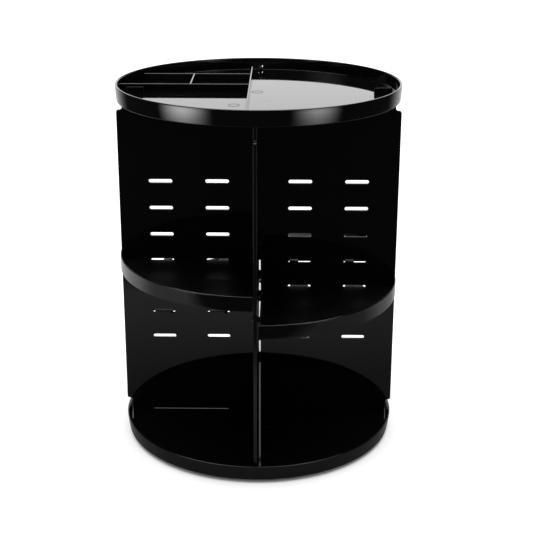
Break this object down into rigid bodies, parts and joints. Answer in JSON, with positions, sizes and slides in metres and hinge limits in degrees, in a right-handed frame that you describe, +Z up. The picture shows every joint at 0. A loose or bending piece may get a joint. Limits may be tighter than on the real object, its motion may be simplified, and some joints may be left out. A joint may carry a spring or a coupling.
{
  "type": "nail polish rack",
  "caption": "Rotating round rack for nail polish: slotted panels crossed between a bottom tray and a divided top tray, with quarter-circle shelf trays hooked into the slots.",
  "frame": {"origin": "on the vertical turning axis, at the underside of the rubber feet", "axes": "+Z up along the turning axis, +X to the right along the main panel, +Y to the back along the cross panel"},
  "size_m": [0.2344, 0.2344, 0.3047],
  "materials": {
    "gloss_plastic": "polished black",
    "base_plastic": "satin black",
    "cage_plastic": "natural white",
    "steel": "bright steel",
    "rubber": "matt black"
  },
  "bodies": {
    "base": {"base_plate": "base_plastic", "pivot_washer": "steel", "foot_1": "rubber", "foot_2": "rubber", "foot_3": "rubber", "foot_4": "rubber", "foot_5": "rubber", "foot_6": "rubber"},
    "bearing": {"ball_cage": "cage_plastic", "ball_1": "steel", "ball_2": "steel", "ball_3": "steel", "ball_4": "steel", "ball_5": "steel", "ball_6": "steel", "ball_7": "steel", "ball_8": "steel"},
    "carousel": {"bottom_tray": "gloss_plastic", "main_panel": "gloss_plastic", "cross_panel": "gloss_plastic", "pivot_screw": "steel"},
    "top_tray": {"top_tray": "gloss_plastic"},
    "shelf_back_right": {"shelf_back_right": "gloss_plastic"},
    "shelf_back_left": {"shelf_back_left": "gloss_plastic"},
    "shelf_front_left": {"shelf_front_left": "gloss_plastic"},
    "shelf_front_right": {"shelf_front_right": "gloss_plastic"}
  },
  "joints": [
    {"name": "carousel_spin", "type": "hinge", "parent": "base", "child": "carousel", "pos_m": [0, 0, 0.0055], "axis": [0, 0, 1], "continuous": true},
    {"name": "bearing_spin", "type": "hinge", "parent": "base", "child": "bearing", "pos_m": [0, 0, 0.0055], "axis": [0, 0, 1], "continuous": true},
    {"name": "top_tray_lift", "type": "slide", "parent": "carousel", "child": "top_tray", "axis": [0, 0, 1], "range_m": [0, 0.04]},
    {"name": "shelf_back_right_play", "type": "slide", "parent": "carousel", "child": "shelf_back_right", "axis": [0.7071, 0.7071, 0], "range_m": [0, 0.0017]},
    {"name": "shelf_back_left_play", "type": "slide", "parent": "carousel", "child": "shelf_back_left", "axis": [-0.7071, 0.7071, 0], "range_m": [0, 0.0017]},
    {"name": "shelf_front_left_play", "type": "slide", "parent": "carousel", "child": "shelf_front_left", "axis": [-0.7071, -0.7071, 0], "range_m": [0, 0.0017]},
    {"name": "shelf_front_right_play", "type": "slide", "parent": "carousel", "child": "shelf_front_right", "axis": [0.7071, -0.7071, 0], "range_m": [0, 0.0017]}
  ],
  "couplings": [
    {"joint": "bearing_spin", "follows": "carousel_spin", "ratio": 0.5}
  ]
}
